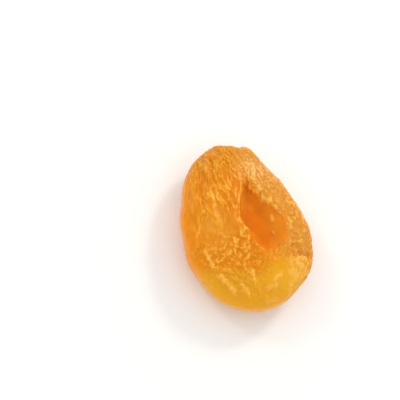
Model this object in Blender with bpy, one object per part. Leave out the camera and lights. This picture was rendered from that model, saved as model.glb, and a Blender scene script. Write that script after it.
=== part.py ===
"""A dried apricot, pitted and pressed flat, lying with its pit hollow up.

Metres, +Z up. The origin is under the middle of the fruit, on the surface that it
rests on. The stem end points along +Y, and the lobe beside the hollow is at -X.
"""

import math

import bmesh
import bpy
import numpy as np

MM = 0.001

# Driving dimensions: the box that the finished fruit fills
LENGTH = 38.0 * MM
WIDTH = 27.5 * MM
THICKNESS = 13.0 * MM

# The skin is a cube's six grids blown up to a ball, with this many squares a side
GRID = 28

# The pressed egg, in shares of its half length, half width and half thickness
FULLNESS = 2.5  # power of the pressed section: 2 is an ellipse, more has fat shoulders
STEM_TAPER = 0.21  # how much narrower the stem end is than the middle
STEM_END_TAPER = 0.09  # how much more it narrows in its last stretch
FOOT_TAPER = 0.07  # how much narrower the foot end gets in its last stretch
STEM_SQUARENESS = 2.25  # power of the outline at the stem end: more than 2 is squarer
STEM_THINNING = 0.20  # how much thinner the stem end is than the middle
# Where the outline stands out or falls back: degrees from +X on the ball, spread, share
OUTLINE_BUMPS = ((50, 9, 0.10), (75, 10, -0.01), (114, 14, -0.035), (-24, 14, 0.03))

# The hollow that the pit left: it starts as a crease and widens towards the foot
HOLLOW_DEPTH = 3.1 * MM
HOLLOW_TOP = 10.4 * MM  # y of the narrow end
HOLLOW_BOTTOM = -10.5 * MM  # y of the wide end

# The lobe that is squeezed over the steep side of the hollow
LOBE_HEIGHT = 0.8 * MM
LOBE_WIDTH = 2.0 * MM
LOBE_OVERHANG = 0.4 * MM

# The smooth bulge at the foot end, with a short groove across the rim above it
BULGE_PLACE = np.array([4.8, -13.8]) * MM
BULGE_SIZE = np.array([6.8, 5.0]) * MM
BULGE_HEIGHT = 0.7 * MM
GROOVE_START = np.array([7.2, -10.4]) * MM
GROOVE_END = np.array([12.6, -10.9]) * MM
GROOVE_DEPTH = 0.5 * MM
GROOVE_WIDTH = 1.0 * MM

# The seam of the fruit along its underside, and the scar of the stem
SEAM_DEPTH = 0.5 * MM
SEAM_WIDTH = 1.3 * MM
SCAR_DEPTH = 0.7 * MM
SCAR_RADIUS = 1.4 * MM
SCAR_HEIGHT = -2.0 * MM  # its place below the widest line

# Folds of the shrunken skin
LUMP_SPACING = 9.0 * MM
LUMP_HEIGHT = 0.14 * MM
LUMP_SEED = 8
FOLD_SPACING = 2.6 * MM
FOLD_HEIGHT = 0.34 * MM
FOLD_STRETCH = 2.6  # how many times longer than wide a fold is
FOLD_SEED = 6
FOLD_WANDER = 0.5 * MM
WANDER_SEEDS = (11, 12, 13)

# The small flat spot underneath: how much of the skin's lowest point is pressed flat
REST_PRESSING = 0.25 * MM


def rise(value, low, high):
    """0 below low and 1 above high, with an even S between them."""
    share = np.clip((value - low) / (high - low), 0, 1)
    return share * share * (3 - 2 * share)


def bump(value, middle, spread):
    """1 at the middle, falling off on both sides like a bell."""
    return np.exp(-(((value - middle) / spread) ** 2))


def waves(points, spacing, seed, count=40):
    """A smooth random height of about -1 to 1: plane waves in random directions."""
    rng = np.random.default_rng(seed)
    ways = rng.normal(size=(count, 3))
    ways /= np.linalg.norm(ways, axis=1)[:, None]
    turns = 2 * math.pi / (spacing * rng.uniform(0.75, 1.35, count))
    starts = rng.uniform(0, 2 * math.pi, count)
    return np.cos(points @ (ways * turns[:, None]).T + starts).sum(1) / math.sqrt(count / 2)


def pressed_egg(ball):
    """The ball's points moved to a flattened egg with fat shoulders and a blunt stem end."""
    level = np.hypot(ball[:, 0], ball[:, 1])
    reach = (level**FULLNESS + np.abs(ball[:, 2]) ** FULLNESS) ** (-1 / FULLNESS)
    x, y, z = (ball * reach[:, None]).T
    power = 2 + (STEM_SQUARENESS - 2) * rise(ball[:, 1], 0.2, 0.9)
    square_level = (np.abs(ball[:, 0]) ** power + np.abs(ball[:, 1]) ** power) ** (1 / power)
    square = level / np.maximum(square_level, 1e-9)
    around = np.degrees(np.arctan2(ball[:, 1], ball[:, 0]))
    bumps = sum(size * bump(around, place, spread) for place, spread, size in OUTLINE_BUMPS)
    bumps = bumps * (x**2 + y**2)
    x = x * square * (1 + bumps)
    y = y * square * (1 + bumps)
    ends = STEM_END_TAPER * rise(y, 0.5, 1) + FOOT_TAPER * rise(-y, 0.5, 1)
    x = x * (1 - STEM_TAPER * y - ends)
    z = z * (1 - STEM_THINNING * rise(y, -0.1, 1))
    return np.column_stack([x * WIDTH / 2, y * LENGTH / 2, z * THICKNESS / 2])


def left_edge(y):
    """x of the hollow's left edge: straight edges with a rounded corner, drawn left below it."""
    straight = -1.3 * MM + 0.36 * np.hypot(y - 0.7 * MM, 1.0 * MM)
    return straight - 1.2 * MM * rise(-y, -3 * MM, 2 * MM)


def right_edge(y):
    """x of the hollow's right edge, which reaches out furthest below the middle."""
    return 3.6 * MM + 5.4 * MM * bump(y, -2.5 * MM, 8 * MM)


def hollow_share(x, y):
    """1 on the floor of the hollow, with a steep left side and a gentle right side."""
    steep_width = 2.2 * MM + 1.4 * MM * rise(-y, -1 * MM, 5 * MM)
    gentle_width = 1.3 * MM + 3.7 * MM * rise(-y, -10 * MM, -2 * MM)
    steep = rise(x - left_edge(y), -0.5 * MM, steep_width - 0.5 * MM)
    gentle = rise(right_edge(y) - x, 0, gentle_width)
    ends = rise(y, HOLLOW_BOTTOM, -5 * MM) * (1 - rise(y, 4 * MM, HOLLOW_TOP))
    return steep * gentle * ends


def floor_share(x, y):
    """1 on the smooth floor, which ends short of the right edge near the stem end."""
    beads_room = 1.9 * MM * rise(y, -0.5 * MM, 1.5 * MM)
    left = rise(x - left_edge(y), -0.2 * MM, 0.8 * MM)
    right = rise(right_edge(y) - beads_room - x, -0.6 * MM, 1.6 * MM)
    ends = rise(y, -9 * MM, -6 * MM) * (1 - rise(y, 5 * MM, 9 * MM))
    return left * right * ends


def lobe_share(x, y):
    """1 along the crest of the lobe, which follows the left edge of the hollow."""
    crest = bump(x - left_edge(y), -1.5 * MM, LOBE_WIDTH)
    return crest * rise(y, -4 * MM, 1 * MM) * (1 - rise(y, 6 * MM, 12 * MM))


def bulge_share(x, y):
    """1 on the smooth bulge at the foot end."""
    return bump(x, BULGE_PLACE[0], BULGE_SIZE[0]) * bump(y, BULGE_PLACE[1], BULGE_SIZE[1])


def line_share(x, y, start, end, width):
    """1 along a short line in plan, falling off across it and at both ends."""
    half = np.linalg.norm(end - start) / 2
    along_x, along_y = (end - start) / (2 * half)
    from_x, from_y = np.array([x, y]) - (start + end)[:, None] / 2
    along = from_x * along_x + from_y * along_y
    beside = from_y * along_x - from_x * along_y
    return bump(beside, 0, width) * (1 - rise(np.abs(along) / half, 0.5, 1.1))


def rest_share(ball, egg):
    """1 in the middle of the underside, where the fruit rests."""
    return (1 - rise(np.hypot(egg[:, 0], egg[:, 1]), 4 * MM, 9 * MM)) * (ball[:, 2] < 0)


def make_form(ball, egg):
    """The fruit's points without its folds, for points on the ball and on the egg."""
    facing_up = rise(ball[:, 2], 0.0, 0.5)
    facing_down = rise(-ball[:, 2], 0.0, 0.4)
    x, y, z = egg.T
    lobe = lobe_share(x, y) * facing_up
    groove = line_share(x, y, GROOVE_START, GROOVE_END, GROOVE_WIDTH)
    seam = bump(x, 0, SEAM_WIDTH) * rise(np.abs(y), 5 * MM, 9 * MM) * facing_down
    scar = bump(np.hypot(x, z - SCAR_HEIGHT), 0, SCAR_RADIUS) * (y > 0)
    points = egg.copy()
    points[:, 0] += LOBE_OVERHANG * lobe
    points[:, 1] -= SCAR_DEPTH * scar
    points[:, 2] += LOBE_HEIGHT * lobe + BULGE_HEIGHT * bulge_share(x, y) * facing_up
    points[:, 2] -= (HOLLOW_DEPTH * hollow_share(x, y) + GROOVE_DEPTH * groove) * facing_up
    points[:, 2] += SEAM_DEPTH * seam
    return points


def folded_share(ball, egg):
    """Where the skin is folded: less in the hollow, round the wall, and on the bulge."""
    facing_up = rise(ball[:, 2], 0.0, 0.5)
    x, y, _ = egg.T
    stem_end = rise(y, 5 * MM, 15 * MM)
    foot_end = rise(-y, 9 * MM, 16 * MM)
    wall = bump(ball[:, 2], 0.0, 0.55) * (0.9 - 0.3 * stem_end)
    floor = 0.85 * floor_share(x, y) * facing_up
    bulge = 0.4 * bulge_share(x, y) * facing_up
    share = (1 - floor) * (1 - wall) * (1 - bulge) * (1 - rest_share(ball, egg))
    return share * (1 - 0.5 * foot_end) * (1 - 0.5 * stem_end)


def unroll(egg, stretch):
    """The egg's points with its ends drawn apart, so that waves there don't crowd."""
    y = egg[:, 1] / (LENGTH / 2)
    narrowing = np.sqrt(np.clip(1 - y**2, 0, 1) + 0.12)
    along = np.arcsin(np.clip(y, -1, 1)) * LENGTH / 2
    return np.column_stack([egg[:, 0] / narrowing, along / stretch, egg[:, 2] / narrowing])


def folds(ball, egg):
    """Height of the folds: round backs, with narrower valleys, running from end to end."""
    places = unroll(egg, FOLD_STRETCH)
    wander = [waves(places, 3 * FOLD_SPACING, seed, 24) for seed in WANDER_SEEDS]
    places = places + FOLD_WANDER * np.column_stack(wander)
    # The size of a wave has two ridges to each wave
    ridges = np.sqrt(waves(places, 2 * FOLD_SPACING, FOLD_SEED, 48) ** 2 + 0.1) - 0.8
    lumps = waves(egg, LUMP_SPACING, LUMP_SEED) * (1 - rest_share(ball, egg))
    return FOLD_HEIGHT * ridges * folded_share(ball, egg) + LUMP_HEIGHT * lumps


def skin_ball():
    """A cube cut into even grids and blown up to a ball of radius 1."""
    bm = bmesh.new()
    bmesh.ops.create_cube(bm, size=2)
    bmesh.ops.subdivide_edges(bm, edges=bm.edges[:], cuts=GRID - 1, use_grid_fill=True)
    for vert in bm.verts:
        vert.co = [math.tan(c * math.pi / 4) for c in vert.co]
        vert.co.normalize()
    mesh = bpy.data.meshes.new("apricot")
    bm.to_mesh(mesh)
    bm.free()
    return mesh


def read_points(values, name):
    numbers = np.empty(len(values) * 3)
    values.foreach_get(name, numbers)
    return numbers.reshape(-1, 3)


def place_points(mesh, points):
    mesh.vertices.foreach_set("co", points.ravel())
    mesh.update()


def press_and_fit(points):
    """Press the lowest skin flat, and stretch the fruit to fill its box exactly."""
    floor = points[:, 2].min() + REST_PRESSING
    points[:, 2] = np.maximum(points[:, 2], floor)
    low, high = points.min(0), points.max(0)
    points = (points - (low + high) / 2) * np.array([WIDTH, LENGTH, THICKNESS]) / (high - low)
    points[:, 2] += THICKNESS / 2
    points[:, 2][points[:, 2] < 1e-6] = 0
    return points


def skin_material():
    material = bpy.data.materials.new("apricot_skin")
    material.use_nodes = True
    shader = material.node_tree.nodes["Principled BSDF"]
    shader.inputs["Base Color"].default_value = (0.80, 0.30, 0.035, 1)
    shader.inputs["Roughness"].default_value = 0.45
    return material


def make_apricot():
    mesh = skin_ball()
    ball = read_points(mesh.vertices, "co")
    egg = pressed_egg(ball)
    points = make_form(ball, egg)
    place_points(mesh, points)
    outwards = read_points(mesh.vertex_normals, "vector")
    points = points + outwards * folds(ball, egg)[:, None]
    place_points(mesh, press_and_fit(points))
    apricot = bpy.data.objects.new("apricot", mesh)
    bpy.context.scene.collection.objects.link(apricot)
    mesh.shade_smooth()
    mesh.materials.append(skin_material())
    return apricot


def main():
    for obj in list(bpy.data.objects):
        bpy.data.objects.remove(obj)
    make_apricot()


main()
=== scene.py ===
# %% [markdown]
# # A dried apricot
#
# The fruit was picked ripe, its pit was pressed out, and it dried in the sun until its skin
# was too large for it. What is left is a leathery cushion with a hollow on one side, a lobe
# squeezed over the edge of that hollow, and wrinkled skin that glows a little, because light
# goes into the flesh and comes out again. The lesson makes that one piece, as one closed
# surface worked out from formulas, and then its finish, the light and the camera.

# %% The frame
import math

import bpy
import numpy as np
from mathutils import Matrix, Vector


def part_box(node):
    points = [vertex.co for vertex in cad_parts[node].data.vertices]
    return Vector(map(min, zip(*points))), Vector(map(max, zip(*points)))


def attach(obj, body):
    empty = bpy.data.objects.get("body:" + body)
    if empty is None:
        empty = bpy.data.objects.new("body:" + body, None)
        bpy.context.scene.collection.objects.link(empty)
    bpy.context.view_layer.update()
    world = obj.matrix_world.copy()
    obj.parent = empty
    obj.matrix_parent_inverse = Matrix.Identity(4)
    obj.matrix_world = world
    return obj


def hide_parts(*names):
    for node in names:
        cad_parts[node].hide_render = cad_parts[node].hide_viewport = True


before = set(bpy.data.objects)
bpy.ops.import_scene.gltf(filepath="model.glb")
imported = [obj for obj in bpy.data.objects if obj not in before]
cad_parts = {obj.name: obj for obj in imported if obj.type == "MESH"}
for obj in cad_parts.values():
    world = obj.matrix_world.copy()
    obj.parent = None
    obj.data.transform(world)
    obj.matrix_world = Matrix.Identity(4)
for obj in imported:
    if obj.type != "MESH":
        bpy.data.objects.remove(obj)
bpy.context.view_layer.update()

MM = 0.001
BOX_LOW, BOX_HIGH = (np.array(corner, float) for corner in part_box("apricot"))
WIDTH, LENGTH, THICKNESS = BOX_HIGH - BOX_LOW
print("the fruit fills", np.round((BOX_HIGH - BOX_LOW) / MM, 2), "mm")


# %% [markdown]
# ## Three small tools
#
# Soft steps, soft bumps and waves are all that the form needs. The waves stand in for the
# chance in how a fruit shrinks: many plane waves of nearly one size, sent in random
# directions from a fixed seed, add up to hills and dales without a grid showing in them.

# %% Steps, bumps and waves
def rise(value, low, high):
    """0 below low and 1 above high, with an even S between them: 3t^2 - 2t^3."""
    share = np.clip((value - low) / (high - low), 0, 1)
    return share * share * (3 - 2 * share)


def bump(value, middle, width):
    """1 at the middle, falling off on both sides like a bell: e^-(distance/width)^2."""
    return np.exp(-(((value - middle) / width) ** 2))


def waves(points, spacing, seed, count=40):
    """A smooth random height, mostly from -2 to 2: count cosines over sqrt(count / 2)."""
    rng = np.random.default_rng(seed)
    ways = rng.normal(size=(count, 3))
    ways /= np.linalg.norm(ways, axis=1)[:, None]
    turns = 2 * math.pi / (spacing * rng.uniform(0.75, 1.35, count))
    starts = rng.uniform(0, 2 * math.pi, count)
    return np.cos(points @ (ways * turns[:, None]).T + starts).sum(1) / math.sqrt(count / 2)


# %% [markdown]
# ## The grid of the skin
#
# A ball of meridians crowds its points at two poles, and wrinkles would look combed there.
# A cube whose six faces are cut into grids and then blown up to a ball has no pole, and its
# cells stay nearly even. The fruit is flat, so the four side faces need fewer rows than the
# top and the bottom. The edges that two faces share are merged, so the skin is closed.

# %% A cube blown up to a ball
ACROSS = 152  # squares along every level edge
UPRIGHT = 78  # squares from the bottom face to the top face


def even_angles(squares):
    """Places from -1 to 1 that are even in angle when seen from the middle of the cube."""
    return np.tan(np.linspace(-1, 1, squares + 1) * math.pi / 4)


def cube_face(first, second, place):
    """Points of one face on a grid of two lists of places, and the squares between them."""
    a, b = np.meshgrid(first, second, indexing="ij")
    points = np.stack(place(a, b, np.ones_like(a)), -1).reshape(-1, 3)
    numbers = np.arange(a.size).reshape(a.shape)
    corners = [numbers[:-1, :-1], numbers[1:, :-1], numbers[1:, 1:], numbers[:-1, 1:]]
    return points, np.stack(corners, -1).reshape(-1, 4)


def skin_ball():
    """Points of the ball and the squares between them, all facing outwards."""
    level = even_angles(ACROSS)
    upright = even_angles(UPRIGHT)
    faces = [
        cube_face(level, level, lambda a, b, one: (a, b, one)),
        cube_face(level, level, lambda a, b, one: (-a, b, -one)),
        cube_face(level, upright, lambda a, b, one: (one, a, b)),
        cube_face(level, upright, lambda a, b, one: (-one, -a, b)),
        cube_face(level, upright, lambda a, b, one: (-a, one, b)),
        cube_face(level, upright, lambda a, b, one: (a, -one, b)),
    ]
    points = np.concatenate([face[0] for face in faces])
    starts = np.cumsum([0] + [len(face[0]) for face in faces[:-1]])
    squares = np.concatenate([face[1] + start for face, start in zip(faces, starts)])
    rounded = np.round(points * 1e6).astype(int)
    _, kept, merged = np.unique(rounded, axis=0, return_index=True, return_inverse=True)
    ball = points[kept]
    return ball / np.linalg.norm(ball, axis=1)[:, None], merged.reshape(-1)[squares]


BALL, SQUARES = skin_ball()
print(len(BALL), "points,", len(SQUARES), "squares")


# %% [markdown]
# ## The pressed egg
#
# Under its wrinkles the fruit is a flattened egg. A superellipse of power 2.5 makes its
# section fatter at the shoulders than an ellipse, as a pressed cushion is. From above it
# narrows towards the stem end, which is cut off nearly square, with one corner.

# %% The pressed egg
FULLNESS = 2.5  # power of the pressed section: 2 is an ellipse, more has fat shoulders
STEM_TAPER = 0.21  # how much narrower the stem end is than the middle
STEM_END_TAPER = 0.09  # how much more it narrows in its last stretch
FOOT_TAPER = 0.07  # how much narrower the foot end gets in its last stretch
STEM_SQUARENESS = 2.25  # power of the outline at the stem end: more than 2 is squarer
STEM_THINNING = 0.20  # how much thinner the stem end is than the middle
# Where the outline stands out or falls back: degrees from +X on the ball, width, share.
OUTLINE_BUMPS = ((50, 9, 0.10), (75, 10, -0.01), (114, 14, -0.035), (-24, 14, 0.03))


def pressed_egg(ball):
    """The ball's points moved out to |level|^2.5 + |z|^2.5 = 1, tapered and stretched."""
    level = np.hypot(ball[:, 0], ball[:, 1])
    reach = (level**FULLNESS + np.abs(ball[:, 2]) ** FULLNESS) ** (-1 / FULLNESS)
    x, y, z = (ball * reach[:, None]).T
    power = 2 + (STEM_SQUARENESS - 2) * rise(ball[:, 1], 0.2, 0.9)
    square_level = (np.abs(ball[:, 0]) ** power + np.abs(ball[:, 1]) ** power) ** (1 / power)
    square = level / np.maximum(square_level, 1e-9)
    around = np.degrees(np.arctan2(ball[:, 1], ball[:, 0]))
    bumps = sum(size * bump(around, place, width) for place, width, size in OUTLINE_BUMPS)
    bumps = bumps * (x**2 + y**2)
    x = x * square * (1 + bumps)
    y = y * square * (1 + bumps)
    ends = STEM_END_TAPER * rise(y, 0.5, 1) + FOOT_TAPER * rise(-y, 0.5, 1)
    x = x * (1 - STEM_TAPER * y - ends)
    z = z * (1 - STEM_THINNING * rise(y, -0.1, 1))
    return np.column_stack([x * WIDTH / 2, y * LENGTH / 2, z * THICKNESS / 2])


EGG = pressed_egg(BALL)
X, Y = EGG[:, 0], EGG[:, 1]
HEIGHT_ON_BALL = BALL[:, 2]
FACING_UP = rise(HEIGHT_ON_BALL, 0.0, 0.5)
FACING_DOWN = rise(-HEIGHT_ON_BALL, 0.0, 0.4)
print("the egg is", np.round(np.ptp(EGG, axis=0) / MM, 1), "mm")


# %% [markdown]
# ## The edges of the hollow
#
# Where the pit was, the face has fallen in. The hollow starts as a crease near the stem end
# and widens towards the foot. Two curves in plan bound it. Its left edge is steep, because a
# broad lobe of flesh is squeezed over it, and its right side rises gently to a beaded rim.
# The left edge is a hyperbola: nearly two straight lines with a rounded corner between.

# %% Two curves in plan
LEFT_CORNER_X = -1.3 * MM
LEFT_CORNER_Y = 0.7 * MM
LEFT_SLANT = 0.36  # how far the edge goes to the right for each step from its corner
LEFT_ROUNDING = 1.0 * MM
LEFT_DRAWN_BACK = 1.2 * MM  # how much further left it runs below the corner
RIGHT_ENDS_X = 3.6 * MM  # x of the right edge far from its widest place
RIGHT_REACH = 5.4 * MM  # how much further right it gets
RIGHT_WIDEST_Y = -2.5 * MM
RIGHT_BELL = 8 * MM


def left_edge(y):
    """x of the left edge: slant times sqrt(y^2 + rounding^2), drawn left below the corner."""
    straight = LEFT_CORNER_X + LEFT_SLANT * np.hypot(y - LEFT_CORNER_Y, LEFT_ROUNDING)
    return straight - LEFT_DRAWN_BACK * rise(-y, -3 * MM, 2 * MM)


def right_edge(y):
    """x of the right edge: a bell that reaches out furthest below the middle."""
    return RIGHT_ENDS_X + RIGHT_REACH * bump(y, RIGHT_WIDEST_Y, RIGHT_BELL)


widest = right_edge(RIGHT_WIDEST_Y) - left_edge(RIGHT_WIDEST_Y)
print("the hollow is", round(float(widest) / MM, 1), "mm wide")


# %% [markdown]
# ## The hollow, the lobe, the bulge and the groove
#
# Each large form is one number between 0 and 1 for every point, and the same numbers come
# back later, when the wrinkles and the colours need to know them. The hollow and its smooth
# floor are products of soft steps, one for each edge and end. A short groove cuts the rim
# off from a smooth bulge at the foot end.

# %% Shares of the large forms
HOLLOW_TOP = 10.4 * MM  # y of the narrow end
HOLLOW_BOTTOM = -10.5 * MM  # y of the wide end
LOBE_WIDTH = 2.0 * MM
LOBE_CREST = -1.5 * MM  # its place, from the hollow's left edge
STEEP_SIDE = 1.6 * MM  # width of the slope under the lobe, at the stem end
STEEP_SIDE_GAIN = 1.8 * MM  # how much wider it gets towards the foot
GENTLE_SIDE = 1.3 * MM  # width of the slope up to the rim, at the stem end
GENTLE_SIDE_GAIN = 3.7 * MM
BEADS_ROOM = 1.9 * MM  # how far the smooth floor stays off the beads on the rim
BULGE_PLACE = np.array([4.8, -13.8]) * MM
BULGE_SIZE = np.array([6.8, 5.0]) * MM
GROOVE_START = np.array([7.2, -10.4]) * MM
GROOVE_END = np.array([12.6, -10.9]) * MM
GROOVE_WIDTH = 0.6 * MM


def hollow_share(x, y):
    """1 on the floor: an S up to each edge, steep on the left and gentle on the right."""
    steep_width = STEEP_SIDE + STEEP_SIDE_GAIN * rise(-y, -1 * MM, 5 * MM)
    gentle_width = GENTLE_SIDE + GENTLE_SIDE_GAIN * rise(-y, -10 * MM, -2 * MM)
    steep = rise(x - left_edge(y), -0.5 * MM, steep_width - 0.5 * MM)
    gentle = rise(right_edge(y) - x, 0, gentle_width)
    ends = rise(y, HOLLOW_BOTTOM, -5 * MM) * (1 - rise(y, 4 * MM, HOLLOW_TOP))
    return steep * gentle * ends


def floor_share(x, y):
    """1 on the smooth floor, which ends short of the right edge where beads sit there."""
    beads_room = BEADS_ROOM * rise(y, -0.5 * MM, 1.5 * MM)
    left = rise(x - left_edge(y), -0.5 * MM, 1.1 * MM)
    right = rise(right_edge(y) - beads_room - x, -0.6 * MM, 1.6 * MM)
    ends = rise(y, -9 * MM, -6 * MM) * (1 - rise(y, 5 * MM, 9 * MM))
    return left * right * ends


def lobe_share(x, y):
    """1 along the crest of the lobe, which follows the left edge of the hollow."""
    crest = bump(x - left_edge(y), LOBE_CREST, LOBE_WIDTH)
    return crest * rise(y, -4 * MM, 1 * MM) * (1 - rise(y, 6 * MM, 12 * MM))


def spot(x, y, half_width, half_length):
    """1 at a place in plan, given in mm, with a bell across it and a bell lengthwise."""
    return bump(X, x * MM, half_width * MM) * bump(Y, y * MM, half_length * MM)


def line_share(x, y, start, end, width):
    """1 along a short line in plan: a bell across it, an S at both ends."""
    half = np.linalg.norm(end - start) / 2
    along_x, along_y = (end - start) / (2 * half)
    from_x, from_y = np.array([x, y]) - (start + end)[:, None] / 2
    along = from_x * along_x + from_y * along_y
    beside = from_y * along_x - from_x * along_y
    return bump(beside, 0, width) * (1 - rise(np.abs(along) / half, 0.5, 1.1))


# %% [markdown]
# The edge of the smooth floor isn't drawn with a ruler. A fine wave moves the places at
# which the floor is asked for, so that its edge wanders in and out by half a millimetre
# or so.

# %% The large forms on the egg
EDGE_REACH = 0.45 * MM
EDGE_SPACING = 2.0 * MM
EDGE_SEED = 81

EDGE_WANDER = EDGE_REACH * waves(EGG, EDGE_SPACING, EDGE_SEED)

HOLLOW = hollow_share(X, Y) * FACING_UP
FLOOR = floor_share(X + EDGE_WANDER, Y + 0.5 * EDGE_WANDER) * FACING_UP
LOBE = lobe_share(X, Y) * FACING_UP
BULGE = np.exp(-(((EGG[:, :2] - BULGE_PLACE) / BULGE_SIZE) ** 2).sum(1)) * FACING_UP
GROOVE = line_share(X, Y, GROOVE_START, GROOVE_END, GROOVE_WIDTH) * FACING_UP
print("the floor holds", int((FLOOR > 0.5).sum()), "points")


# %% [markdown]
# ## The underside
#
# Nobody sees it in the photograph, but the fruit is turned over in the hand. The seam that
# every apricot has runs lengthwise along it as a shallow valley, and it stops before the
# flattened middle that the fruit lies on. A small dimple marks where the stem was.

# %% The seam, the scar of the stem, and the form without wrinkles
HOLLOW_DEPTH = 3.1 * MM
LOBE_HEIGHT = 0.8 * MM
LOBE_OVERHANG = 0.4 * MM
BULGE_HEIGHT = 0.7 * MM
GROOVE_DEPTH = 0.7 * MM
SEAM_DEPTH = 0.5 * MM
SEAM_WIDTH = 1.3 * MM
SCAR_DEPTH = 0.7 * MM
SCAR_RADIUS = 1.4 * MM
SCAR_HEIGHT = -2.0 * MM  # its place below the widest line

SEAM = bump(X, 0, SEAM_WIDTH) * rise(np.abs(Y), 5 * MM, 9 * MM) * FACING_DOWN
SCAR = bump(np.hypot(X, EGG[:, 2] - SCAR_HEIGHT), 0, SCAR_RADIUS) * (Y > 0)
REST = (1 - rise(np.hypot(X, Y), 4 * MM, 9 * MM)) * (HEIGHT_ON_BALL < 0)

form = EGG.copy()
form[:, 0] += LOBE_OVERHANG * LOBE
form[:, 1] -= SCAR_DEPTH * SCAR
form[:, 2] += LOBE_HEIGHT * LOBE + BULGE_HEIGHT * BULGE + SEAM_DEPTH * SEAM
form[:, 2] -= HOLLOW_DEPTH * HOLLOW + GROOVE_DEPTH * GROOVE
print("the form's top is at z =", round(float(form[:, 2].max() / MM), 2), "mm")


# %% [markdown]
# ## Raising wrinkles
#
# A wrinkle stands straight out of the skin, so its height is added along the normal of the
# surface below it. Blender works those normals out, once the points are in a mesh, so one
# mesh is kept for the whole making and only its points are moved.

# %% The mesh, and moving its points along their normals
mesh = bpy.data.meshes.new("dried_apricot")
mesh.from_pydata(form.tolist(), [], SQUARES.tolist())


def raised(points, height):
    """The points moved outwards along the surface's normals by a height for each."""
    mesh.vertices.foreach_set("co", points.ravel())
    mesh.update()
    normals = np.empty(points.size)
    mesh.vertex_normals.foreach_get("vector", normals)
    return points + normals.reshape(-1, 3) * height[:, None]


# %% [markdown]
# ## The folds
#
# Drying skin folds in two sizes. The large folds, about 2.6 mm apart, run from end to end
# like the pleats of a purse. A wave whose sign is dropped has round backs and sharp valleys,
# and sqrt(wave^2 + a little) rounds the valleys off, as real folds have them. The waves run
# on an unrolled copy of the egg whose ends are drawn apart, so that the folds gather there
# without crowding, and its points wander a little, so that no fold is straight. The hollow's
# floor, the wall, the bulge and the spot that the fruit rests on stay smoother.

# %% Unrolling the egg
def unroll(egg, stretch):
    """The egg's points with its ends drawn apart, and with waves stretched lengthwise."""
    y = egg[:, 1] / (LENGTH / 2)
    narrowing = np.sqrt(np.clip(1 - y**2, 0, 1) + 0.12)
    along = np.arcsin(np.clip(y, -1, 1)) * LENGTH / 2
    return np.column_stack([egg[:, 0] / narrowing, along / stretch, egg[:, 2] / narrowing])


def wander(places, spacing, reach, seeds):
    """The places moved by three slow waves, one for each direction."""
    return places + reach * np.column_stack([waves(places, spacing, seed, 24) for seed in seeds])


# %% The large folds
LUMP_SPACING = 9.0 * MM
LUMP_HEIGHT = 0.14 * MM
LUMP_SEED = 8
FOLD_SPACING = 2.6 * MM
FOLD_HEIGHT = 0.26 * MM
FOLD_STRETCH = 2.6  # how many times longer than wide a fold is
FOLD_SEED = 6
FOLD_WANDER = 0.5 * MM
FOLD_WANDER_SEEDS = (11, 12, 13)
VALLEY_ROUNDING = 0.03
FOLD_LEVEL = 0.75  # close to their mean height, so that they hardly swell the fruit

STEM_END = rise(Y, 5 * MM, 15 * MM)
FOOT_END = rise(-Y, 9 * MM, 16 * MM)
SMOOTH_WALL = bump(HEIGHT_ON_BALL, 0.0, 0.55) * (0.9 - 0.3 * STEM_END)
FOLDED = (1 - 0.85 * FLOOR) * (1 - SMOOTH_WALL) * (1 - 0.4 * BULGE) * (1 - REST)
FOLDED = FOLDED * (1 - 0.5 * FOOT_END)

fold_places = wander(unroll(EGG, FOLD_STRETCH), 3 * FOLD_SPACING, FOLD_WANDER, FOLD_WANDER_SEEDS)
fold_waves = waves(fold_places, 2 * FOLD_SPACING, FOLD_SEED, 48)
folds = np.sqrt(fold_waves**2 + VALLEY_ROUNDING) - FOLD_LEVEL
lumps = waves(EGG, LUMP_SPACING, LUMP_SEED) * (1 - REST)
folded = raised(form, FOLD_HEIGHT * folds * FOLDED + LUMP_HEIGHT * lumps)
print("folds up to", round(float((FOLD_HEIGHT * folds * FOLDED).max() / MM), 2), "mm")


# %% [markdown]
# ## The fine wrinkles
#
# On the large folds sits the fine crinkle that makes the fruit look dried: short strokes
# and beads a millimetre or so apart. Waves of one size would look printed, so three sizes
# are added, each finer and lower than the last. Short lengthwise strokes cover the lobe.
# Towards the foot and along the rim they turn into beads, whose waves are hardly stretched.

# %% Strokes and beads
RIDGE_SPACING = 1.05 * MM
RIDGE_HEIGHT = 0.30 * MM
RIDGE_STRETCH = 2.8
RIDGE_SEED = 41
RIDGE_WANDER_SEEDS = (21, 22, 23)
BEAD_SPACING = 1.2 * MM
BEAD_HEIGHT = 0.38 * MM
BEAD_STRETCH = 1.4
BEAD_SEED = 45
BEAD_WANDER_SEEDS = (31, 32, 33)
FINER = 0.62  # each size of wave is this much finer than the last
LOWER = 0.85  # and this much lower
WRINKLE_WANDER_SPACING = 5 * MM
WRINKLE_WANDER = 0.3 * MM


def crinkle(places, spacing, seed):
    """Three sizes of wave added up, each lower than the last, as an S from 0 to 1."""
    total = sum(LOWER**step * waves(places, spacing * FINER**step, seed + step, 70)
                for step in range(3))
    return rise(total, -2.0, 2.6)


def wrinkle_places(stretch, seeds):
    """The unrolled egg, stretched, with its points wandering a little."""
    return wander(unroll(EGG, stretch), WRINKLE_WANDER_SPACING, WRINKLE_WANDER, seeds)


ridge_places = wrinkle_places(RIDGE_STRETCH, RIDGE_WANDER_SEEDS)
bead_places = wrinkle_places(BEAD_STRETCH, BEAD_WANDER_SEEDS)
ridges = crinkle(ridge_places, RIDGE_SPACING, RIDGE_SEED)
beads = crinkle(bead_places, BEAD_SPACING, BEAD_SEED)
print("mean of ridges and beads:", np.round([ridges.mean(), beads.mean()], 2))


# %% [markdown]
# ## Wrinkles that have their own place
#
# Chance makes the field of wrinkles, but a few are large enough to be told apart. The
# largest beads hang in a row where the rim turns down into the hollow, and long wrinkles
# run over the foot and the bulge. Each is a small bell or a short line in plan.

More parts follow.
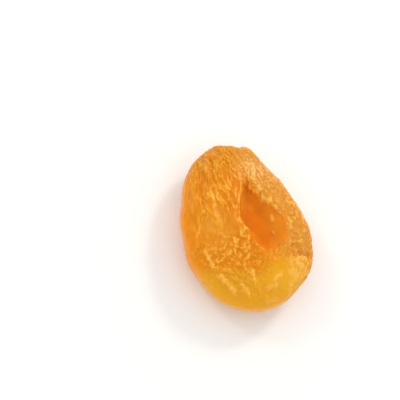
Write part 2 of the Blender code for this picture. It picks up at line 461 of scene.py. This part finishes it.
# %% Large beads and long wrinkles
# Large beads: x and y of each in mm, and its half width and half length in mm.
LARGE_BEAD_SPOTS = (
    (5.0, 11.0, 1.0, 1.3),
    (4.6, 8.3, 0.6, 0.8),
    (4.9, 5.6, 0.6, 0.9),
    (5.2, 3.3, 0.45, 0.7),
    (6.3, 2.0, 0.5, 0.7),
    (7.2, 0.6, 0.45, 0.6),
    (6.0, -1.2, 0.35, 0.7),
    (5.3, -4.2, 0.2, 0.4),
    (9.1, -3.6, 0.35, 1.4),
)
LARGE_BEAD_HEIGHT = 0.4 * MM
# Long wrinkles: x and y of both ends in mm, the half width in mm, and the height as a share.
LONG_WRINKLE_LINES = (
    (-10.0, -9.5, -7.0, -15.5, 0.4, 0.9),
    (-6.2, -12.6, -4.4, -16.5, 0.4, 0.8),
    (-2.9, -10.5, -3.0, -14.0, 0.4, 0.6),
    (-11.1, -4.5, -10.2, -9.4, 0.4, 0.6),
    (-5.5, 7.6, -6.9, 0.2, 0.4, 0.5),
    (0.9, -14.7, 3.7, -13.4, 0.45, 0.8),
    (-1.3, -16.0, 2.3, -15.5, 0.45, 0.8),
    (-1.9, -17.8, 2.0, -18.2, 0.5, 0.4),
    (7.6, -11.2, 10.9, -11.3, 0.7, 0.7),
    (7.9, -12.1, 8.6, -13.6, 0.6, 0.6),
    (5.5, -13.1, 6.9, -15.6, 0.8, 0.7),
    (5.2, -15.1, 4.5, -18.1, 0.6, 0.4),
)
LONG_WRINKLE_HEIGHT = 0.34 * MM

LARGE_BEADS = FACING_UP * sum(spot(*place_and_size) for place_and_size in LARGE_BEAD_SPOTS)
LONG_WRINKLES = FACING_UP * sum(
    share * line_share(X, Y, np.array([x0, y0]) * MM, np.array([x1, y1]) * MM, width * MM)
    for x0, y0, x1, y1, width, share in LONG_WRINKLE_LINES
)
print(len(LARGE_BEAD_SPOTS), "large beads and", len(LONG_WRINKLE_LINES), "long wrinkles")


# %% [markdown]
# ## Where the skin is wrinkled
#
# The skin is tight over the floor of the hollow, over the bulge and round the side, most of
# all on the left and at the foot. The flat spot is pressed smooth. Elsewhere the wrinkles
# come and go in patches. On the right and at the stem end the edge of the smooth side
# wanders, or it would look like a band drawn round the fruit.

# %% The finished relief
PATCH_SPACING = 7 * MM
PATCH_SEED = 51
SIDE_REACH = 0.16  # how far the smooth side's edge wanders, as height on the ball
SIDE_SEED = 71
SIDE_LEVEL = -0.15  # height on the ball of the middle of the smooth side

RIM = rise(X, 3 * MM, 6 * MM) * FACING_UP
BEADED = np.maximum(RIM, rise(-Y, -1 * MM, 5 * MM))
PATCHES = rise(waves(EGG, PATCH_SPACING, PATCH_SEED), -1.4, 0.6)
LEFT_AND_FOOT = rise(-0.85 * X - 0.45 * Y, -3 * MM, 6 * MM)
SIDE_WANDER = SIDE_REACH * waves(EGG, PATCH_SPACING, SIDE_SEED) * (1 - LEFT_AND_FOOT)
SMOOTH_SIDE = bump(HEIGHT_ON_BALL + SIDE_WANDER, SIDE_LEVEL, 0.48 + 0.26 * LEFT_AND_FOOT)
SIDE_SMOOTHING = (0.97 - 0.35 * STEM_END) * (0.55 + 0.45 * LEFT_AND_FOOT)
SHEEN = spot(7.8, -13, 2.6, 2.4) * FACING_UP
SMOOTH_BULGE = 0.75 * BULGE * (1 - SHEEN)

WRINKLED = (1 - 0.95 * FLOOR) * (1 - SMOOTH_BULGE) * (1 - REST) * (0.7 + 0.3 * PATCHES)
WRINKLED = WRINKLED * (1 - SIDE_SMOOTHING * SMOOTH_SIDE)

fine = (1 - BEADED) * RIDGE_HEIGHT * ridges + BEADED * BEAD_HEIGHT * beads
placed = LARGE_BEAD_HEIGHT * LARGE_BEADS + LONG_WRINKLE_HEIGHT * LONG_WRINKLES
skin = raised(folded, fine * WRINKLED + placed)
print("relief up to", round(float((fine * WRINKLED + placed).max() / MM), 2), "mm")


# %% [markdown]
# ## Resting and filling the box
#
# The weight of the fruit presses the lowest skin flat, so it lies on a small flat spot. Last,
# the surface is stretched by a hair to fill the frame's box exactly.

# %% The flat spot and the final size
REST_PRESSING = 0.25 * MM

lowest = skin[:, 2].min() + REST_PRESSING
skin[:, 2] = np.maximum(skin[:, 2], lowest)
skin_low, skin_high = skin.min(0), skin.max(0)
skin = BOX_LOW + (skin - skin_low) * (BOX_HIGH - BOX_LOW) / (skin_high - skin_low)
mesh.vertices.foreach_set("co", skin.ravel())
mesh.update()
mesh.shade_smooth()

apricot = bpy.data.objects.new("dried_apricot", mesh)
bpy.context.scene.collection.objects.link(apricot)
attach(apricot, "root")
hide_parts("apricot")
print("flat spot:", int((skin[:, 2] < BOX_LOW[2] + 1e-6).sum()), "points")


# %% [markdown]
# ## What the material needs to know
#
# The colour of the skin follows its form: the backs of wrinkles are painted paler and yellower
# as painted light, the creases deeper orange as painted shade, and the hollow is deeper orange.
# The pale tips of the wrinkles, the large beads, the long wrinkles and two pale patches carry
# painted highlights. The numbers that shaped the skin are stored on its points, so that the
# material can read them. No picture is needed. A finer wave breaks the painted highlights on
# the long strokes up into shorter ones.

# %% Backs and tips of the wrinkles, with painted shade and painted highlights
def store(name, values):
    """A number from 0 to 1 for each point, kept under a name that the material reads."""
    layer = mesh.attributes.new(name, "FLOAT", "POINT")
    layer.data.foreach_set("value", np.clip(values, 0, 1).astype(np.float32))


STROKE_SPACING = 0.5 * MM
STROKE_SEED = 91

LEFT_MIDDLE = spot(-7.5, -1.5, 3, 5) * FACING_UP
# A spot of painted highlight by the crease.
HIGHLIGHT_SPOT = spot(-2.4, -1.4, 1.4, 1.8) * FACING_UP
STROKES = rise(waves(ridge_places, STROKE_SPACING, STROKE_SEED), -1.2, 1.2)
BROKEN_UP = 1 - (1 - BEADED) * (0.75 - 1.1 * STROKES)

backs = ((1 - BEADED) * ridges + BEADED * beads) * WRINKLED
# The pale tips are painted highlights on the highest backs of the wrinkles.
highlight_tips = rise(backs, 0.4, 0.9) * (1 - 0.4 * STEM_END) * BROKEN_UP
# Painted highlights on the large beads, the long wrinkles, the sheen and the highlight spot.
highlight_marks = 1.2 * LARGE_BEADS + 1.15 * LONG_WRINKLES + 0.6 * SHEEN + 0.5 * HIGHLIGHT_SPOT
highlight_marks = highlight_marks * (0.35 + 1.2 * beads) * (1 + 0.5 * BULGE)
# The ridge number carries painted shade in the creases and painted light on the backs.
store("ridge", backs + 0.6 * highlight_marks)
# Painted highlights, stronger in the middle of the left side.
store("highlight_tips", (0.62 + 0.3 * LEFT_MIDDLE) * highlight_tips + 0.12 * LEFT_MIDDLE + highlight_marks)
print("pale tips on", round(100 * float((highlight_tips + highlight_marks > 0.5).mean()), 1), "% of the points")


# %% [markdown]
# The floor of the hollow is the deepest orange. It is streaked, and it is painted lighter
# towards its right side, its top and its lower right: painted light where the rim and the lobe
# shade the floor.

# %% The floor of the hollow
STREAK_STRETCH = 2.5
STREAK_SPACING = 1.8 * MM
STREAK_SEED = 61

streak_places = unroll(EGG, STREAK_STRETCH)
FLOOR_STREAKS = rise(waves(streak_places, STREAK_SPACING, STREAK_SEED), -1.5, 1.5)
BARE_FLOOR = FLOOR * (1 - LARGE_BEADS) * (1 - 0.4 * FLOOR_STREAKS)
# Painted light where the lobe and the rim shade the floor: its right side, its top and its lower
# right.
PAINTED_LIGHT_SIDE = np.maximum(rise(X, 2.5 * MM, 7 * MM), rise(Y, 0, 4 * MM))
PAINTED_LIGHT_SIDE = np.maximum(PAINTED_LIGHT_SIDE, rise(X - 0.6 * Y, 5.5 * MM, 9.5 * MM))
store("hollow", BARE_FLOOR)
store("floor_painted_light", BARE_FLOOR * PAINTED_LIGHT_SIDE)
print("bare floor on", round(100 * float((BARE_FLOOR > 0.5).mean()), 1), "% of the points")


# %% [markdown]
# The other regions shift the colour a little each: browner at the stem end, yellower at the
# foot and on the bulge. The skin is painted paler along the rim's edge, as a glow of light
# coming through the thin flesh, and on the cells and the upper rim above the hollow, as
# painted highlights.

# %% The other regions
UNDER_HOLLOW = spot(1.5, -8.5, 4.5, 2.6) * FACING_UP
# A painted glow along the rim's edge, as of light coming through the thin flesh.
RIM_EDGE_GLOW = bump(HEIGHT_ON_BALL, 0.34, 0.13) * rise(X, 3 * MM, 6 * MM) * rise(Y, -8 * MM, -2 * MM)
# Painted highlights on the pale cells above the hollow.
CELL_HIGHLIGHTS = bump(np.hypot(X - 5.0 * MM, Y - 10.7 * MM), 0, 2.4 * MM) * FACING_UP
# Painted sheen, a broad highlight, over the upper rim above the hollow.
PAINTED_RIM_SHEEN = bump(np.hypot(X - 5.5 * MM, Y - 9.5 * MM), 0, 4.5 * MM) * FACING_UP
PAINTED_RIM_SHEEN = PAINTED_RIM_SHEEN * (1 - rise(HOLLOW, 0, 0.3))

store("stem_end", rise(Y, 6 * MM, 18 * MM))
store("foot", rise(-Y - 0.3 * X, 9.5 * MM, 16 * MM))
store("wall", SMOOTH_SIDE * LEFT_AND_FOOT)
store("left_middle", LEFT_MIDDLE)
store("lobe", 0.8 * LOBE)
store("under_hollow", UNDER_HOLLOW)
store("bulge", BULGE**1.6)
store("rim", RIM * rise(Y, -12.5 * MM, -8.5 * MM))
# Painted glow along the rim's edge.
store("rim_edge_glow", RIM_EDGE_GLOW * (0.5 + 0.5 * beads))
# Painted highlights on the cells.
store("cell_highlights", CELL_HIGHLIGHTS * rise(beads, 0.3, 0.7))
# Painted sheen on the upper rim.
store("pale", PAINTED_RIM_SHEEN * (0.35 + beads))
print(len(mesh.attributes), "attributes on the mesh")


# %% [markdown]
# ## The skin's finish
#
# Dried apricot skin is amber, slightly waxy and see-through for a millimetre or two. One
# Principled shader does it: a base colour mixed from the stored numbers and a noise, a
# roughness that varies with a finer noise and is higher in the hollow, and light scattered
# below the surface, red furthest. The finest grain is only a bump, because it is too small
# to model.

# %% Colours
def srgb(red, green, blue):
    """A colour given as on a screen, 0 to 255, as the linear values that shaders use."""
    share = np.array([red, green, blue]) / 255
    linear = np.where(share <= 0.04045, share / 12.92, ((share + 0.055) / 1.055) ** 2.4)
    return (*linear.tolist(), 1)


# Painted shade in the creases and painted light on the backs of the wrinkles.
CREASE_SHADE_COLOUR = srgb(222, 132, 16)
LIT_BACK_COLOUR = srgb(232, 152, 26)
# Painted highlight on the tips and the large marks.
PAINTED_HIGHLIGHT_COLOUR = srgb(249, 187, 84)
# Painted highlight on the cells above the hollow.
CELL_HIGHLIGHT_COLOUR = srgb(243, 192, 132)
BLOTCH_COLOUR = srgb(216, 112, 8)
# What lies over the creases and backs, from the bottom up: the stored number, the colour,
# and how much of it there is at most.
COLOUR_LAYERS = (
    ("stem_end", srgb(216, 140, 22), 0.6),
    ("wall", srgb(240, 150, 20), 0.9),
    ("left_middle", srgb(234, 164, 52), 0.45),
    ("lobe", srgb(224, 126, 20), 0.5),
    ("foot", srgb(236, 180, 42), 0.55),
    ("under_hollow", srgb(226, 134, 20), 0.45),
    ("bulge", srgb(236, 174, 36), 0.85),
    ("rim", srgb(216, 150, 58), 0.55),
    # Painted glow along the rim's edge.
    ("rim_edge_glow", srgb(242, 184, 92), 0.6),
    # Painted sheen on the upper rim.
    ("pale", srgb(228, 168, 98), 0.55),
    ("hollow", srgb(222, 116, 6), 0.95),
    # Painted light on the shaded parts of the floor.
    ("floor_painted_light", srgb(234, 146, 34), 0.9),
)
print(len(COLOUR_LAYERS), "layers of colour")


# %% Node helpers
def add(tree, kind, place, **settings):
    """A new node of a kind at a place in the editor, with its settings."""
    node = tree.nodes.new(kind)
    node.location = place
    for name, value in settings.items():
        setattr(node, name, value)
    return node


def attribute(tree, name, place):
    """The number that is stored on the points under that name."""
    return add(tree, "ShaderNodeAttribute", place, attribute_name=name).outputs["Fac"]


def remap(tree, value, place, from_range, to_range):
    """The value between two numbers, moved to lie between two others, with an even S."""
    node = add(tree, "ShaderNodeMapRange", place, interpolation_type="SMOOTHSTEP")
    tree.links.new(value, node.inputs["Value"])
    node.inputs["From Min"].default_value, node.inputs["From Max"].default_value = from_range
    node.inputs["To Min"].default_value, node.inputs["To Max"].default_value = to_range
    return node.outputs["Result"]


def cover(tree, under, colour, share, place):
    """A colour laid over what is under it, by a share that changes over the surface."""
    node = add(tree, "ShaderNodeMix", place, data_type="RGBA")
    tree.links.new(share, node.inputs["Factor"])
    tree.links.new(under, node.inputs["A"])
    node.inputs["B"].default_value = colour
    return node.outputs["Result"]


def noise(tree, scale, detail, place):
    """A noise on object coordinates, scale being how many waves there are to a metre."""
    places = add(tree, "ShaderNodeTexCoord", (place[0] - 200, place[1]))
    node = add(tree, "ShaderNodeTexNoise", place)
    tree.links.new(places.outputs["Object"], node.inputs["Vector"])
    node.inputs["Scale"].default_value = scale
    node.inputs["Detail"].default_value = detail
    return node.outputs["Fac"]


# %% [markdown]
# ### The base colour
#
# Darker creases and paler backs, painted shade and painted light on the wrinkles, are the
# ground. The regions are laid over it one by one, then the painted highlights on the tips and
# on the cells, which catch the eye on every region, and last the blotches of riper skin.

# %% The base colour
LAYER_RANGE = (0.05, 0.85)
HIGHLIGHT_TIPS_MOST = 0.85
CELL_HIGHLIGHTS_MOST = 0.8
BLOTCH_SCALE = 210
BLOTCHES_MOST = 0.35


def base_colour(tree):
    """The colour of the skin: painted crease shade to painted back light by the ridge number,
    then layer over layer.
    """
    # Painted shade in the creases to painted light on the backs.
    ridge = attribute(tree, "ridge", (-900, 600))
    ground = add(tree, "ShaderNodeMix", (-300, 600), data_type="RGBA")
    tree.links.new(remap(tree, ridge, (-600, 600), (0.1, 0.6), (0, 1)), ground.inputs["Factor"])
    ground.inputs["A"].default_value = CREASE_SHADE_COLOUR
    ground.inputs["B"].default_value = LIT_BACK_COLOUR
    colour = ground.outputs["Result"]
    for step, (name, layer_colour, most) in enumerate(COLOUR_LAYERS):
        height = 300 - 260 * step
        share = attribute(tree, name, (-900, height))
        share = remap(tree, share, (-600, height), LAYER_RANGE, (0, most))
        colour = cover(tree, colour, layer_colour, share, (-100 + 150 * step, 500))
    # Painted highlights on the tips and the large marks.
    highlight_tips = remap(tree, attribute(tree, "highlight_tips", (-900, 900)), (-600, 900), (0, 1), (0, HIGHLIGHT_TIPS_MOST))
    colour = cover(tree, colour, PAINTED_HIGHLIGHT_COLOUR, highlight_tips, (600, 700))
    # Painted highlights on the cells.
    cell_highlights = attribute(tree, "cell_highlights", (-900, 1200))
    cell_highlights = remap(tree, cell_highlights, (-600, 1200), (0, 1), (0, CELL_HIGHLIGHTS_MOST))
    colour = cover(tree, colour, CELL_HIGHLIGHT_COLOUR, cell_highlights, (650, 900))
    blotches = noise(tree, BLOTCH_SCALE, 3, (-700, 900))
    blotches = remap(tree, blotches, (-400, 900), (0.5, 0.75), (0, BLOTCHES_MOST))
    return cover(tree, colour, BLOTCH_COLOUR, blotches, (700, 500))


# %% Gloss, grain and the light in the flesh
GLOSS_SCALE = 900
GLOSS_RANGE = (0.12, 0.24)
HOLLOW_DULLNESS = 0.5  # how much rougher the floor of the hollow is
GRAIN_SCALE = 2600
GRAIN_STRENGTH = 0.35
GRAIN_DEPTH = 0.03 * MM
SCATTER_SHARE = 0.5
SCATTER_COLOUR_REACH = (1.0, 0.4, 0.1)  # red, green and blue, as shares of the depth
SCATTER_DEPTH = 2.2 * MM
SHINE_LEVEL = 0.4
SHINE_COLOUR = srgb(255, 222, 150)
REFRACTION = 1.42


def skin_roughness(tree):
    """A noise between two roughnesses, plus what the floor of the hollow adds."""
    gloss = noise(tree, GLOSS_SCALE, 2, (300, -200))
    gloss = remap(tree, gloss, (500, -200), (0.3, 0.7), GLOSS_RANGE)
    dull = attribute(tree, "hollow", (300, -350))
    dull = remap(tree, dull, (500, -350), (0, 0.8), (0, HOLLOW_DULLNESS))
    roughness = add(tree, "ShaderNodeMath", (700, -250), operation="ADD")
    tree.links.new(gloss, roughness.inputs[0])
    tree.links.new(dull, roughness.inputs[1])
    return roughness.outputs["Value"]


def skin_grain(tree):
    """The normal that a fine noise gives the skin, as a bump."""
    grain = add(tree, "ShaderNodeBump", (700, -500))
    grain.inputs["Strength"].default_value = GRAIN_STRENGTH
    grain.inputs["Distance"].default_value = GRAIN_DEPTH
    tree.links.new(noise(tree, GRAIN_SCALE, 3, (300, -500)), grain.inputs["Height"])
    return grain.outputs["Normal"]


def skin_material():
    """The waxy skin: one Principled shader with the colour, roughness and grain above."""
    material = bpy.data.materials.new("apricot_skin")
    material.use_nodes = True
    tree = material.node_tree
    shader = tree.nodes["Principled BSDF"]
    shader.location = (900, 200)
    tree.links.new(base_colour(tree), shader.inputs["Base Color"])
    tree.links.new(skin_roughness(tree), shader.inputs["Roughness"])
    tree.links.new(skin_grain(tree), shader.inputs["Normal"])
    shader.inputs["Subsurface Weight"].default_value = SCATTER_SHARE
    shader.inputs["Subsurface Radius"].default_value = SCATTER_COLOUR_REACH
    shader.inputs["Subsurface Scale"].default_value = SCATTER_DEPTH
    shader.inputs["Specular IOR Level"].default_value = SHINE_LEVEL
    shader.inputs["Specular Tint"].default_value = SHINE_COLOUR
    shader.inputs["IOR"].default_value = REFRACTION
    return material


mesh.materials.append(skin_material())
print(len(mesh.materials[0].node_tree.nodes), "nodes in the skin's material")


# %% [markdown]
# ## The table and the light
#
# The photograph was taken on white, in soft light. A wide pale floor and a white sky give
# the soft fill. A lamp at the upper right gives the highlights on the wrinkles and the
# shadow at the lower left, and a weaker one at the upper left gives that side highlights of
# its own. Both are only five or six centimetres wide, or the highlights would be too broad
# for the fine wrinkles.

# %% The floor
TABLE_HALF = 3.0
TABLE_COLOUR = (0.97, 0.97, 0.97, 1)
TABLE_ROUGHNESS = 0.9

quarters = [(-1, -1), (1, -1), (1, 1), (-1, 1)]
corners = [(x * TABLE_HALF, y * TABLE_HALF, 0) for x, y in quarters]
floor_mesh = bpy.data.meshes.new("floor")
floor_mesh.from_pydata(corners, [], [(0, 1, 2, 3)])
floor_material = bpy.data.materials.new("pale_floor")
floor_material.use_nodes = True
floor_shader = floor_material.node_tree.nodes["Principled BSDF"]
floor_shader.inputs["Base Color"].default_value = TABLE_COLOUR
floor_shader.inputs["Roughness"].default_value = TABLE_ROUGHNESS
floor_mesh.materials.append(floor_material)
floor = bpy.data.objects.new("floor", floor_mesh)
bpy.context.scene.collection.objects.link(floor)
print("the floor is", 2 * TABLE_HALF, "m wide")


# %% The sky and the lamps
SKY_COLOUR = (1.0, 1.0, 1.0, 1)
SKY_STRENGTH = 0.90
LAMP_COLOUR = (1.0, 0.95, 0.82)  # a little warm
MAIN_PLACE = Vector((0.20, 0.12, 0.22))
MAIN_SIZE = 0.06
MAIN_POWER = 0.23
FILL_PLACE = Vector((-0.16, 0.20, 0.24))
FILL_SIZE = 0.05
FILL_POWER = 0.10

scene = bpy.context.scene
world = bpy.data.worlds.new("soft_sky")
world.use_nodes = True
world.node_tree.nodes["Background"].inputs["Color"].default_value = SKY_COLOUR
world.node_tree.nodes["Background"].inputs["Strength"].default_value = SKY_STRENGTH
scene.world = world
scene.view_settings.view_transform = "Standard"


def add_lamp(name, place, size, power):
    """A square lamp at a place, turned towards the fruit."""
    data = bpy.data.lights.new(name, "AREA")
    data.color = LAMP_COLOUR
    data.size = size
    data.energy = power
    lamp = bpy.data.objects.new(name, data)
    lamp.location = place
    lamp.rotation_euler = place.to_track_quat("Z", "Y").to_euler()
    scene.collection.objects.link(lamp)


add_lamp("main_lamp", MAIN_PLACE, MAIN_SIZE, MAIN_POWER)
add_lamp("fill_lamp", FILL_PLACE, FILL_SIZE, FILL_POWER)
print("the main lamp is", round(MAIN_PLACE.length, 2), "m from the fruit")


# %% [markdown]
# ## The camera
#
# In the photograph this fruit leans, with its hollow turned to the camera. Lying down, it
# shows the same face to a camera above it. The camera's direction is seen from the fruit,
# its roll turns the stem end to the left, and its distance and place put the fruit where it
# is in the photograph's frame, at the same size.

# %% The camera
VIEW = Vector((-0.28, -0.32, 0.90)).normalized()
ROLL = math.radians(18.5)
FRAME_PIXELS = 400
PIXEL = 0.2128 * MM  # what one pixel of the photograph covers at the fruit
FRUIT_MIDDLE_PIXEL = (242.4, 225.4)
LENS = 100
SENSOR = 36

level_up = (Vector((0, 1, 0)) - VIEW * VIEW.y).normalized()
level_right = level_up.cross(VIEW)
camera_right = level_right * math.cos(ROLL) - level_up * math.sin(ROLL)
camera_up = level_up * math.cos(ROLL) + level_right * math.sin(ROLL)
off_right = (FRUIT_MIDDLE_PIXEL[0] - FRAME_PIXELS / 2) * PIXEL
off_down = (FRUIT_MIDDLE_PIXEL[1] - FRAME_PIXELS / 2) * PIXEL

distance = PIXEL * FRAME_PIXELS * LENS / SENSOR
middle = Vector((0, 0, THICKNESS / 2))
eye = middle + VIEW * distance - camera_right * off_right + camera_up * off_down
turn = Matrix((camera_right, camera_up, VIEW)).transposed()

camera_data = bpy.data.cameras.new("camera")
camera_data.lens = LENS
camera_data.sensor_width = SENSOR
camera = bpy.data.objects.new("camera", camera_data)
camera.matrix_world = Matrix.Translation(eye) @ turn.to_4x4()
scene.collection.objects.link(camera)
scene.camera = camera
print("camera", round(distance, 3), "m from the fruit")
